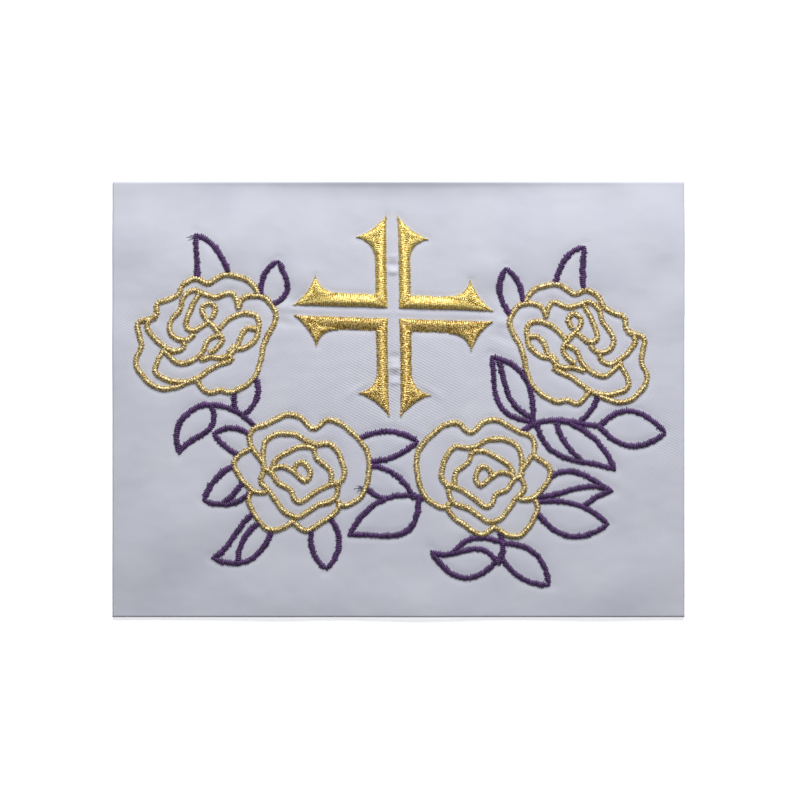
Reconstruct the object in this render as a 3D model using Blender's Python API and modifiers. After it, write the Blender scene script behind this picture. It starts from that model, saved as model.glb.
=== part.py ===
"""An altar cloth: a cut length of white twill, lying loose, with a voided cross,
four roses and their leaf sprays standing up from it in satin stitch.

Lengths in the tables are millimetres. X runs to the right along the cloth, Y towards
its top edge and Z up. The cloth's middle is at X = Y = 0 and its flat underside at Z = 0.
"""

import math

import bmesh
import bpy
from mathutils import Vector
from mathutils.geometry import delaunay_2d_cdt, intersect_point_line
from mathutils.kdtree import KDTree

MM = 0.001

# The cloth
CLOTH_ACROSS = 190.5
CLOTH_UP = 145.0
CLOTH_THICK = 1.0
CLOTH_CELL = 6.6

# The embroidery
GOLD_WIDTH = 1.8
PURPLE_WIDTH = 2.2
LINE_CROWN = 0.8
CROSS_CROWN = 1.1
SEAT_GAP = 0.3
SIDE_GAP = 0.5
# How far a line's blunt end stands out, in half widths
NOSE = 0.6

# How finely the lines are drawn, and how far a solid's line may stray from them
FINE_STEP = 0.5
INNER_STEP = 0.3
GOLD_TOLERANCE = 0.3
PURPLE_TOLERANCE = 0.15
NEAR = 0.02
WELD = 1e-5
LEAST_LIFT = 0.08

# The design's own axes: its middle on the cloth, and how far its level and upright lines lean
DESIGN_X = -1.7
DESIGN_Y = 28.8
LEVEL_LEAN = -0.0315
UPRIGHT_LEAN = -0.015

# One quarter of the voided cross
CROSS_GAP_ACROSS = 1.95
CROSS_GAP_UP = 1.8
CROSS_ARM_UPRIGHT = 4.0
CROSS_ARM_LEVEL = 4.6
CROSS_REACH_TOP = 30.4
CROSS_REACH_FOOT = 32.4
CROSS_REACH_ACROSS = 31.0
BARB_OUT = 9.8
BARB_BACK = 7.2
BARB_ROOT = 14.0
BARB_HOLLOW_END = 0.8
BARB_HOLLOW_ROOT = 1.6
OUTLINE_STEP = 1.7
# Points on the ridges of a barbed end: beside the gap line and back from the end
BARB_RIDGE = ((0.9, 4.0), (2.6, 7.0), (6.7, 7.5))

# Soft folds: middle x, middle y, run angle in degrees, half length, half width, height
FOLDS = (
    (-48, 50, 6, 50, 20, 0.9),
    (54, 51, -6, 52, 22, 1.1),
    (0, 79, 0, 106, 13, 1.5),
    (-51, 58, 62, 22, 10, 0.6),
    (-88, 54, 35, 20, 13, 1.1),
    (89, 57, -45, 22, 14, 1.1),
    (93, 33, 65, 21, 12, 0.8),
    (-95, 16, 80, 20, 13, 0.9),
    (-76, -45, 48, 34, 19, 1.5),
    (-38, -66, 8, 28, 16, 0.7),
    (6, -70, -6, 32, 15, 0.8),
    (74, -62, 20, 34, 18, 0.9),
    (-33, 40, 0, 12, 9, 0.6),
    (30, 42, 0, 12, 9, 0.6),
)

# Roses: node, middle x, middle y, side it faces (1 left, -1 right), width factor, petals
ROSES = (
    ("rose_upper_left", -62.6, -8.6, 1, 1.0, "turned"),
    ("rose_upper_right", 61.5, -8.3, -1, 0.97, "turned"),
    ("rose_lower_left", -31.0, -54.0, 1, 1.01, "open"),
    ("rose_lower_right", 29.0, -53.6, -1, 1.0, "open"),
)

# Petal edges: the knots of each line from the rose's middle
PETALS = {
    "open": {
        "bud": ((-8.5, 1.5), (-5.5, 1.5), (-3, 0), (1, -3), (2.5, 0), (0, 3.5), (-2.5, 2), (-3, 0)),
        "heart_top": ((-9.5, 1), (-9, 3.5), (-4, 7), (-0.5, 8.5), (3.5, 8), (4.5, 5), (9, 1), (9.5, -3)),
        "heart_foot": ((-10, 0), (-8, -4), (-4, -6), (-3, -9), (-1, -10), (4, -6.5), (10, -3.5), (12.5, -3.5)),
        "whorl_top": ((-13, 1), (-12.5, 9), (-9.5, 12), (-2.5, 12.5), (3.5, 9.5), (9.5, 9.5), (13, 4),
                      (13.5, -1.5), (11, -3.5)),
        "whorl_foot": ((-16.5, 7.5), (-12.5, 1), (-14, -3), (-10.5, -7.5), (-6, -13.5), (-2, -15), (4.5, -11),
                       (10.5, -8.5), (11.5, -4.5)),
        "rim_top": ((-17, 7.5), (-17, 13), (-11, 16), (-5, 19), (-1, 18.5), (4, 14.5), (8, 17.5), (12, 17),
                    (21, 8.5), (22, 2), (19.5, -7), (14.5, -10.5), (11.5, -10.5)),
        "rim_side": ((-17, 7.5), (-22, 4), (-22.5, 1), (-16, -7), (-12, -7)),
        "rim_low_left": ((-17.5, -7), (-18, -10.5), (-12.5, -19), (-9, -19.5), (-3, -16.5)),
        "rim_low_right": ((-4, -16.5), (1, -19.5), (4.5, -17.5), (11.5, -12), (11.5, -9)),
    },
    "turned": {
        "bud": ((3, 2), (-0.5, 5.5), (-1, 8.5), (1.5, 10), (3.5, 8), (2, 5)),
        "heart_left": ((-2, 13), (-5, 7.5), (-6.5, 2), (-4, 0.5), (1, 3.5), (3.5, 1), (5.5, -2), (3, -5.5),
                       (1, -6.5)),
        "heart_right": ((4.5, 1.5), (8, 5), (13, 7), (17, 6), (17.5, 2), (14, 2), (11.5, -1), (10.5, -4),
                        (6, -8), (2, -8), (-2, -9)),
        "fold_right": ((17.5, 3), (17, -1), (13, -4.5), (10, -5)),
        "fold_left": ((5, -0.5), (1, -2), (-1, -6), (-4, -9), (-9, -10.5), (-14, -6.5)),
        "whorl_left": ((11, 8.5), (9, 13.5), (3, 12), (-4, 14), (-7, 12), (-8.5, 7.5), (-12, 2.5), (-11, -1.5),
                       (-6, -2.5), (-4, -0.5)),
        "whorl_foot": ((-19, 3.5), (-19.5, 1), (-14, -5), (-10.5, -6.5), (-7.5, -5), (-7.5, -2.5)),
        "rim_top": ((-19, 3.5), (-16.5, 5.5), (-16, 9), (-9.5, 12), (-7, 16), (-3, 18), (1, 16.5), (6.5, 19.5),
                    (15, 17.5), (18, 13.5)),
        "rim_left": ((-16.5, 4.5), (-22.5, 2.5), (-21.5, -5), (-23.5, -11), (-18, -18), (-13, -19), (-2, -15)),
        "rim_right": ((11, 8.5), (12.5, 12), (19.5, 12.5), (23.5, 6.5), (19.5, -2.5), (17.5, -11), (15, -15.5),
                      (8, -19.5), (4, -19), (0.5, -20), (-3.5, -16)),
        "rim_foot": ((-14, -5.5), (-17, -13.5), (-11, -16.5), (-5, -16), (3, -11), (8.5, -8.5), (7.5, -6.5),
                     (9.5, -4)),
    },
}

# Leaf and stem lines: node, from x, from y, to x, to y, bow to the left, lean of the bow to the far end
LEAF_LINES = (
    ("leaf_top_left", -65, 10.5, -65.5, 24, 0, 0),
    ("leaf_top_left", -55, 12.5, -65.5, 24, -2, 0.2),
    ("leaf_top_left_inner", -44, 5.5, -38, 16, 2, 0.2),
    ("leaf_top_left_inner", -39.5, 2, -38, 16, -3.6, -0.5),
    ("leaf_top_right_inner", 38.5, 1.5, 37.5, 16, 2.5, 0),
    ("leaf_top_right_inner", 43.5, 5, 37.5, 16, -1.5, 0.4),
    ("leaf_top_right", 54, 11.5, 64, 24, 2.5, 0.4),
    ("leaf_top_right", 63.5, 10.5, 64, 24, 0.5, 0),
    ("spray_left", -53, -27, -53, -34, -0.5, 0),
    ("spray_left", -46.5, -23, -50.5, -35.5, 2.7, -0.2),
    ("spray_left", -47.5, -38.5, -63.5, -32.5, -2, 0),
    ("spray_left", -63.5, -32.5, -72, -49, -4.5, 0),
    ("spray_left", -61, -33, -72, -49, 2.7, -1.5),
    ("leaf_left_upper", -49, -41.5, -60.5, -42, -1.8, 0),
    ("leaf_left_upper", -52, -49, -60.5, -42, 0.8, 0),
    ("leaf_left_lower", -55, -53, -64, -64.5, -1.5, 0),
    ("leaf_left_lower", -49.5, -62, -64, -64.5, 2.2, -0.2),
    ("leaf_left_lower", -57, -64.5, -51, -57.5, -0.5, 0),
    ("leaf_low_left", -48, -68.5, -61.5, -83.5, 0.5, 3),
    ("leaf_low_left", -42, -75, -61.5, -83.5, 5.2, 0),
    ("leaf_low_left", -53, -84, -46, -71.5, 1.8, 0),
    ("leaf_low", -28.5, -73.5, -23.5, -86, -2, 0),
    ("leaf_low", -22, -69, -23.5, -86, 3.5, 0),
    ("leaf_middle_upper", -11.5, -42, 7.5, -42.5, 2.8, 0),
    ("leaf_middle_upper", -8, -49.5, 7.5, -42.5, -1.6, -0.2),
    ("spray_middle", -8, -51, 5.5, -61, 2.4, 0),
    ("spray_middle", -10.5, -58, -4, -62, -0.5, 0),
    ("spray_middle", 10, -61.5, -16, -74.5, -5.8, -0.1),
    ("spray_middle", 7.5, -61, -16, -74.5, 7.3, -0.7),
    ("spray_right", 44, -34.5, 32.5, -13.5, 5, -0.6),
    ("spray_right", 46, -34.5, 32.5, -13.5, -5.5, 0.2),
    ("spray_right", 35, -15.5, 45, -33, -2.5, 0.6),
    ("spray_right", 43, -37.5, 68, -35.5, 2.5, -0.6),
    ("spray_right", 67.5, -26, 60, -35.5, 1, -0.2),
    ("spray_right", 68, -35.5, 90, -37, 6, -0.2),
    ("spray_right", 68, -35.5, 90, -37, -5.5, 0),
    ("spray_right", 56, -34, 73, -50, 2.8, 0),
    ("spray_right", 47.5, -36.5, 73, -50, -4, -0.9),
    ("spray_right", 54, -35.5, 61.5, -47, -1, -0.4),
    ("spray_low_right", 52, -52.5, 72, -57, 2.9, -0.7),
    ("spray_low_right", 47.5, -59.5, 72, -57, 1.6, 1.4),
    ("spray_low_right", 63, -62, 72, -57, 0.7, 0),
    ("spray_low_right", 47.5, -61.5, 70.5, -68, 3, 0),
    ("spray_low_right", 47, -65, 70.5, -68, -6, 0),
    ("spray_bottom", 35.5, -75.5, 19, -79, -3.4, 0.2),
    ("spray_bottom", 33, -81.5, 11.5, -79, -1.9, -2.3),
    ("spray_bottom", 34.5, -80, 11.5, -79, 8, 0),
    ("spray_bottom", 35.5, -75.5, 50.5, -89, 4.6, 0),
    ("spray_bottom", 35, -80.5, 50.5, -89, -2.5, 0),
    ("spray_bottom", 34, -71.5, 34, -82, 1.4, 0),
)


def clear_scene():
    for obj in list(bpy.data.objects):
        bpy.data.objects.remove(obj, do_unlink=True)


def make_material(name, colour, roughness, metallic=0.0):
    material = bpy.data.materials.new(name)
    material.use_nodes = True
    shader = material.node_tree.nodes["Principled BSDF"]
    shader.inputs["Base Color"].default_value = (*colour, 1.0)
    shader.inputs["Roughness"].default_value = roughness
    shader.inputs["Metallic"].default_value = metallic
    return material


def make_collection(name):
    collection = bpy.data.collections.new(name)
    bpy.context.scene.collection.children.link(collection)
    return collection


def add_object(name, shape, material, collection):
    mesh = bpy.data.meshes.new(name)
    shape.to_mesh(mesh)
    shape.free()
    mesh.materials.append(material)
    obj = bpy.data.objects.new(name, mesh)
    collection.objects.link(obj)
    return obj


def fold_height(x, y):
    """Height of the cloth's underside over the surface, from all the folds that pass here."""
    total = 0.0
    for middle_x, middle_y, run, half_length, half_width, height in FOLDS:
        turn = math.radians(run)
        along = (x - middle_x) * math.cos(turn) + (y - middle_y) * math.sin(turn)
        beside = (y - middle_y) * math.cos(turn) - (x - middle_x) * math.sin(turn)
        reach = math.hypot(along / half_length, beside / half_width)
        if reach < 1:
            total += height * math.cos(math.pi / 2 * reach) ** 2
    return total


def make_cloth(material, collection):
    """A flat grid lifted into the folds and thickened upwards."""
    shape = bmesh.new()
    bmesh.ops.create_grid(
        shape,
        x_segments=round(CLOTH_ACROSS / CLOTH_CELL),
        y_segments=round(CLOTH_UP / CLOTH_CELL),
        size=0.5,
    )
    for point in shape.verts:
        x = point.co.x * CLOTH_ACROSS
        y = point.co.y * CLOTH_UP
        point.co = Vector((x, y, fold_height(x, y))) * MM
    obj = add_object("cloth", shape, material, collection)
    thicken = obj.modifiers.new("Solidify", "SOLIDIFY")
    thicken.thickness = CLOTH_THICK * MM
    thicken.offset = 1.0
    obj.data.shade_smooth()
    return obj


def place(x, y):
    """A point of the design on the cloth."""
    return Vector((DESIGN_X + x + UPRIGHT_LEAN * y, DESIGN_Y + y + LEVEL_LEAN * x))


def smooth_line(knots):
    """Close points on a smooth line through the knots (centripetal Catmull-Rom)."""
    knots = [Vector(knot) for knot in knots]
    knots = [2 * knots[0] - knots[1], *knots, 2 * knots[-1] - knots[-2]]
    points = []
    for p0, p1, p2, p3 in zip(knots, knots[1:], knots[2:], knots[3:]):
        t1 = (p1 - p0).length ** 0.5
        t2 = t1 + (p2 - p1).length ** 0.5
        t3 = t2 + (p3 - p2).length ** 0.5
        count = max(1, round((p2 - p1).length / FINE_STEP))
        for index in range(count):
            t = t1 + (t2 - t1) * index / count
            a1 = p0.lerp(p1, t / t1)
            a2 = p1.lerp(p2, (t - t1) / (t2 - t1))
            a3 = p2.lerp(p3, (t - t2) / (t3 - t2))
            b1 = a1.lerp(a2, t / t2)
            b2 = a2.lerp(a3, (t - t1) / (t3 - t1))
            points.append(b1.lerp(b2, (t - t1) / (t2 - t1)))
    points.append(knots[-2])
    return points


def bowed_line(start, end, bow, lean=0.0, step=FINE_STEP):
    """Points about a step apart from start to end, bowed to the left by a parabola that leans."""
    run = end - start
    left = Vector((-run.y, run.x)).normalized()
    count = max(3, round(run.length / step))
    points = []
    for index in range(count + 1):
        t = index / count
        offset = bow * 4 * t * (1 - t) * (1 + lean * (2 * t - 1))
        points.append(start + run * t + left * offset)
    return points


def thinned(line, tolerance):
    """The points that a line needs, none of the others further from it than the tolerance."""
    start, end = line[0], line[-1]
    offsets = [distance_to_edge(point, start, end) for point in line]
    farthest = max(range(len(line)), key=offsets.__getitem__)
    if offsets[farthest] <= tolerance:
        return [start, end]
    return thinned(line[:farthest + 1], tolerance)[:-1] + thinned(line[farthest:], tolerance)


def rose_lines():
    """Every rose's petal edges on the cloth, by node."""
    roses = {}
    for node, x, y, side, width, petals in ROSES:
        roses[node] = []
        for knots in PETALS[petals].values():
            line = [place(x + side * width * point.x, y + point.y) for point in smooth_line(knots)]
            roses[node].append(thinned(line, GOLD_TOLERANCE))
    return roses


def clear_run(points, blocked, clearance):
    """The longest run of points that keeps its clearance, with room for a blunt end where it is cut."""
    best, run = [], []
    for point in points:
        if min((point - other).length for other in blocked) < clearance:
            run = []
            continue
        run.append(point)
        if len(run) > len(best):
            best = list(run)
    spare = round(NOSE * PURPLE_WIDTH / 2 / FINE_STEP)
    if best[0] != points[0]:
        best = best[spare:]
    if best[-1] != points[-1]:
        best = best[:-spare]
    return best


def leaf_lines():
    """Every leaf and stem line on the cloth, by node, stopped short of the roses."""
    blocked = [point for lines in rose_lines().values() for line in lines for point in inner_points(line)]
    clearance = (GOLD_WIDTH + PURPLE_WIDTH) / 2 + SIDE_GAP
    leaves = {}
    for node, x0, y0, x1, y1, bow, lean in LEAF_LINES:
        line = bowed_line(place(x0, y0), place(x1, y1), bow, lean)
        line = thinned(clear_run(line, blocked, clearance), PURPLE_TOLERANCE)
        leaves.setdefault(node, []).append(line)
    return leaves


def ribbon(line, half_width):
    """The points and edges of a line widened to both sides, with a blunt point at each end."""
    ways = [(ahead - behind).normalized() for behind, ahead in zip([line[0], *line], [*line[1:], line[-1]])]
    points = [line[0] - ways[0] * half_width * NOSE, line[-1] + ways[-1] * half_width * NOSE]
    edges = []
    for point, way in zip(line, ways):
        left = Vector((-way.y, way.x)) * half_width
        row = len(points)
        points += [point + left, point, point - left]
        edges += [(row, row + 1), (row + 1, row + 2)]
        if row > 2:
            edges += [(corner - 3, corner) for corner in (row, row + 1, row + 2)]
    end = len(points)
    edges += [(0, 2), (0, 4), (1, end - 3), (1, end - 1)]
    return points, edges


def inner_points(line):
    """Close points along the straight pieces of a line."""
    points = []
    for start, end in zip(line, line[1:]):
        count = math.ceil((end - start).length / INNER_STEP)
        points += [start.lerp(end, index / count) for index in range(count)]
    return points + [line[-1]]


def flat_mesh(points, edges, is_covered):
    """A flat mesh of the triangles between the points and edges whose middles are covered."""
    found = delaunay_2d_cdt(points, edges, [], 0, NEAR, False)
    shape = bmesh.new()
    corners = [shape.verts.new((point.x, point.y, 0)) for point in found[0]]
    for triangle in found[2]:
        middle = sum((found[0][corner] for corner in triangle), Vector((0, 0))) / 3
        if is_covered(middle):
            shape.faces.new([corners[corner] for corner in triangle])
    bmesh.ops.delete(shape, geom=[point for point in shape.verts if not point.link_faces], context="VERTS")
    return shape


def joined_ribbons(lines, half_width):
    """One flat mesh of the area that the widened lines cover together."""
    points, edges, covered = [], [], []
    for line in lines:
        line_points, line_edges = ribbon(line, half_width)
        edges += [(len(points) + a, len(points) + b) for a, b in line_edges]
        points += line_points
        covered += inner_points(line)
    tree = KDTree(len(covered))
    for index, point in enumerate(covered):
        tree.insert(point.to_3d(), index)
    tree.balance()
    return flat_mesh(points, edges, lambda middle: tree.find(middle.to_3d())[2] < half_width)


def split_bridges(shape):
    """Puts a point on each inner edge that runs from rim to rim, so that it can be lifted."""
    bridges = [
        edge for edge in shape.edges
        if len(edge.link_faces) == 2 and all(point.is_boundary for point in edge.verts)
    ]
    bmesh.ops.subdivide_edges(shape, edges=bridges, cuts=1)
    bmesh.ops.triangulate(shape, faces=shape.faces[:])


def raise_satin(shape, half_width, crown):
    """Closes a flat shape into a low cushion: a seat that follows the cloth and a rounded top."""
    split_bridges(shape)
    rim = [tuple(point.co.xy for point in edge.verts) for edge in shape.edges if edge.is_boundary]
    lift = {}
    for point in shape.verts:
        if point.is_boundary:
            lift[point] = 0.0
            continue
        inset = min(distance_to_edge(point.co.xy, *ends) for ends in rim)
        share = 1 - min(1.0, inset / half_width)
        lift[point] = max(LEAST_LIFT, crown * math.sqrt(1 - share * share))
    seat = bmesh.ops.duplicate(shape, geom=shape.faces[:])
    seat_faces = [item for item in seat["geom"] if isinstance(item, bmesh.types.BMFace)]
    bmesh.ops.reverse_faces(shape, faces=seat_faces)
    for point, rise in lift.items():
        point.co.z = rise
    bmesh.ops.remove_doubles(shape, verts=shape.verts[:], dist=WELD)
    for point in shape.verts:
        point.co.z += fold_height(point.co.x, point.co.y) + CLOTH_THICK + SEAT_GAP
        point.co *= MM
    return shape


def distance_to_edge(point, start, end):
    nearest, share = intersect_point_line(point, start, end)
    nearest = start.lerp(end, min(1.0, max(0.0, share)))
    return (point - nearest.xy).length


def make_lines(node, lines, width, material, collection):
    shape = joined_ribbons(lines, width / 2)
    raise_satin(shape, width / 2, LINE_CROWN)
    return add_object(node, shape, material, collection)


def cross_quarter(side, rise):
    """The outline of one quarter of the cross and the points of its ridges, on the cloth."""
    reach = CROSS_REACH_TOP if rise > 0 else CROSS_REACH_FOOT
    tip = Vector((0, reach))
    tip_barb = Vector((BARB_OUT, reach - BARB_BACK))
    tip_root = Vector((CROSS_ARM_UPRIGHT, reach - BARB_ROOT))
    end = Vector((CROSS_REACH_ACROSS, 0))
    end_barb = Vector((CROSS_REACH_ACROSS - BARB_BACK, BARB_OUT))
    end_root = Vector((CROSS_REACH_ACROSS - BARB_ROOT, CROSS_ARM_LEVEL))
    outline = [Vector((0, 0)), *bowed_line(tip, tip_barb, -BARB_HOLLOW_END, step=OUTLINE_STEP)]
    outline += bowed_line(tip_barb, tip_root, -BARB_HOLLOW_ROOT, step=OUTLINE_STEP)[1:]
    outline.append(Vector((CROSS_ARM_UPRIGHT, CROSS_ARM_LEVEL)))
    outline += bowed_line(end_root, end_barb, -BARB_HOLLOW_ROOT, step=OUTLINE_STEP)
    outline += bowed_line(end_barb, end, -BARB_HOLLOW_END, step=OUTLINE_STEP)[1:]
    half_up, half_level = CROSS_ARM_UPRIGHT / 2, CROSS_ARM_LEVEL / 2
    ridge = [Vector((half_up, half_level)), Vector((half_up, tip_root.y)), Vector((end_root.x, half_level))]
    for beside, back in BARB_RIDGE:
        ridge += [Vector((beside, reach - back)), Vector((CROSS_REACH_ACROSS - back, beside))]

    def on_cloth(point):
        return place(side * (CROSS_GAP_ACROSS + point.x), rise * (CROSS_GAP_UP + point.y))

    return [on_cloth(point) for point in outline], [on_cloth(point) for point in ridge]


def is_inside(point, outline):
    """Whether a level line from the point crosses the outline an odd number of times."""
    crossings = 0
    for start, end in zip(outline, outline[1:] + outline[:1]):
        if (start.y > point.y) != (end.y > point.y):
            share = (point.y - start.y) / (end.y - start.y)
            crossings += point.x < start.x + share * (end.x - start.x)
    return crossings % 2 == 1


def make_cross(material, collection):
    for side, across in ((-1, "left"), (1, "right")):
        for rise, up in ((-1, "lower"), (1, "upper")):
            outline, ridge = cross_quarter(side, rise)
            rim = [(index, (index + 1) % len(outline)) for index in range(len(outline))]
            shape = flat_mesh(outline + ridge, rim, lambda middle: is_inside(middle, outline))
            raise_satin(shape, CROSS_ARM_UPRIGHT / 2, CROSS_CROWN)
            add_object(f"cross_{up}_{across}", shape, material, collection)


def main():
    clear_scene()
    parts = make_collection("altar_cloth")
    white = make_material("white_twill", (0.68, 0.70, 0.78), 0.75)
    gold = make_material("gold_thread", (0.66, 0.45, 0.11), 0.35, 0.8)
    purple = make_material("purple_thread", (0.055, 0.025, 0.12), 0.5)
    make_cloth(white, parts)
    make_cross(gold, parts)
    for node, lines in rose_lines().items():
        make_lines(node, lines, GOLD_WIDTH, gold, parts)
    for node, lines in leaf_lines().items():
        make_lines(node, lines, PURPLE_WIDTH, purple, parts)


main()
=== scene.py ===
"""Dresses the altar cloth: white twill with its soft folds and puckers, and the cross,
roses and leaf sprays stitched on it thread by thread.

Lengths in the tables and functions are millimetres, X to the right, Y towards the cloth's top
edge and Z up. Places on the cloth are measured from its middle, and the design's own places
from the middle of the cross. Meshes, lights and the camera are made in metres.
"""

import math

import bpy
import numpy as np
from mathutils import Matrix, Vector
from mathutils.kdtree import KDTree
from mathutils.noise import noise


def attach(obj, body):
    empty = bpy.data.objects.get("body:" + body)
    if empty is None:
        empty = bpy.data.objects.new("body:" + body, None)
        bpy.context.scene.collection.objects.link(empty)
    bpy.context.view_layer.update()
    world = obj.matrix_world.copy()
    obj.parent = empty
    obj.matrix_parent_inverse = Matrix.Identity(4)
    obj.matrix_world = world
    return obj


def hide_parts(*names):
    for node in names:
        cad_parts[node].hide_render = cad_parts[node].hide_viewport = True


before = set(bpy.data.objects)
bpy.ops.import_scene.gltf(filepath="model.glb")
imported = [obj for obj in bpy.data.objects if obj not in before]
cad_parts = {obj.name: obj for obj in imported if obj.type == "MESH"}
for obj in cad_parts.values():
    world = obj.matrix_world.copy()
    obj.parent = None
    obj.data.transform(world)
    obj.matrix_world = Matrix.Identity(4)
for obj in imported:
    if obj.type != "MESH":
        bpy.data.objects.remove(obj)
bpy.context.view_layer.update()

MM = 0.001

# The cloth, the size of its solid
CLOTH_ACROSS = 190.5
CLOTH_UP = 145.0
CLOTH_THICK = 1.0
# The sheet's grid: its cell, its finer cell between the cross's arms, and where that is
SHEET_CELL = 0.7
FINE_CELL = 0.4
FINE_ACROSS = (-4.5, 2.0)
FINE_UP = (2.0, 50.0)
# How thin the sheet gets, and up to which height its underside is laid flat on the surface
SHEET_LEAST = 0.3
REST_BELOW = 0.03

# The design's middle on the cloth, and how far its level and its upright lines lean
DESIGN_X = -1.7
DESIGN_Y = 28.8
LEVEL_LEAN = -0.0315
UPRIGHT_LEAN = -0.015

# The embroidery's lines, as wide as their solids
GOLD_WIDTH = 1.8
PURPLE_WIDTH = 2.2
# From hole to hole, where the stitches' ends are sunk in the cloth
GOLD_STITCHED = 2.0
PURPLE_STITCHED = 2.25

# The cross: from its middle to its four quarters, its arms' widths, and their reach
CROSS_GAP_ACROSS = 1.95
CROSS_GAP_UP = 1.8
CROSS_ARM_UPRIGHT = 4.0
CROSS_ARM_LEVEL = 4.6
CROSS_REACH_TOP = 30.4
CROSS_REACH_FOOT = 32.4
CROSS_REACH_ACROSS = 31.0
# An arm's barb: how far out its point is, how far its point and its root are back from the arm's
# tip, how hollow its two edges are, and how far inside the arm its back column starts
BARB_OUT = 9.8
BARB_BACK = 7.2
BARB_ROOT = 14.0
BARB_HOLLOW_END = 0.8
BARB_HOLLOW_ROOT = 1.6
BARB_ROOT_INSIDE = (0.4, 0.5)
# Where the three stitched columns of a barbed end meet: beside the gap line, back from the end
BARB_MIDDLE = (2.9, 7.0)

# Soft folds on the cloth: middle x, middle y, run angle in degrees, half length, half width, height
FOLDS = (
    (-48, 50, 6, 50, 20, 0.9),
    (54, 51, -6, 52, 22, 1.1),
    (0, 79, 0, 106, 13, 1.5),
    (-51, 58, 62, 22, 10, 0.6),
    (-88, 54, 35, 20, 13, 1.1),
    (89, 57, -45, 22, 14, 1.1),
    (93, 33, 65, 21, 12, 0.8),
    (-95, 16, 80, 20, 13, 0.9),
    (-76, -45, 48, 34, 19, 1.5),
    (-38, -66, 8, 28, 16, 0.7),
    (6, -70, -6, 32, 15, 0.8),
    (74, -62, 20, 34, 18, 0.9),
    (-33, 40, 0, 12, 9, 0.6),
    (30, 42, 0, 12, 9, 0.6),
)

# Small folds that only the sheet shows, in the same form: the top edge's turned-up strip, a long
# soft rise at each side, and the creases beside the cross
CREASES = (
    (0, 74.6, 0, 112, 4.6, 0.85),
    (-78, 38, 8, 45, 22, 0.55),
    (90, 47, -8, 20, 10, 0.35),
    (-37.5, 31.0, 3, 8.0, 3.0, 0.30),
    (-38.0, 25.5, -8, 8.0, 2.4, -0.25),
    (34.5, 25.6, -6, 8.0, 2.6, 0.30),
    (35.0, 20.5, -20, 8.0, 2.6, -0.25),
)

# Puckers that the stitching draws into the upper side, in the same form: in the gap between the
# upright arms, and beside the two lower barbs
PUCKERS = (
    (-1.8, 44.9, 0, 3.2, 1.7, -0.42),
    (-1.8, 42.5, 0, 3.2, 1.6, 0.50),
    (-1.7, 47.6, 0, 3.0, 1.3, 0.20),
    (-1.1, 14.2, 0, 3.2, 2.2, -0.46),
    (-1.1, 10.6, 3, 3.2, 1.7, 0.50),
    (-1.1, 8.0, -4, 3.2, 1.3, -0.32),
    (-1.1, 5.6, 0, 3.2, 1.4, 0.34),
    (-14, 3.0, 35, 7.0, 2.2, 0.20),
    (12, 2.0, -35, 7.0, 2.2, 0.20),
)

# How the stitches press the cloth down around them: depth, and over what distance that fades
PRESSES = (
    (0.18, 0.9),
    (0.09, 3.5),
)
# The cloth's fine unevenness: height, size across, size up, and the layer of noise it is read from
UNEVEN = (
    (0.10, 11, 8, 1.7),
    (0.06, 4.5, 3.5, 5.2),
)
# How much of it the underside follows
UNDER_SHARE = 0.4
# Which of a column's rungs press the cloth, where across them, and how wide each place presses
PRESS_EVERY = 3
PRESS_ACROSS = (0.1, 0.5, 0.9)
PRESS_REACH = 0.4

# Roses in the design: node, middle x, middle y, side it faces (1 left, -1 right), width factor,
# petals
ROSES = (
    ("rose_upper_left", -62.6, -8.6, 1, 1.0, "turned"),
    ("rose_upper_right", 61.5, -8.3, -1, 0.97, "turned"),
    ("rose_lower_left", -31.0, -54.0, 1, 1.01, "open"),
    ("rose_lower_right", 29.0, -53.6, -1, 1.0, "open"),
)

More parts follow.
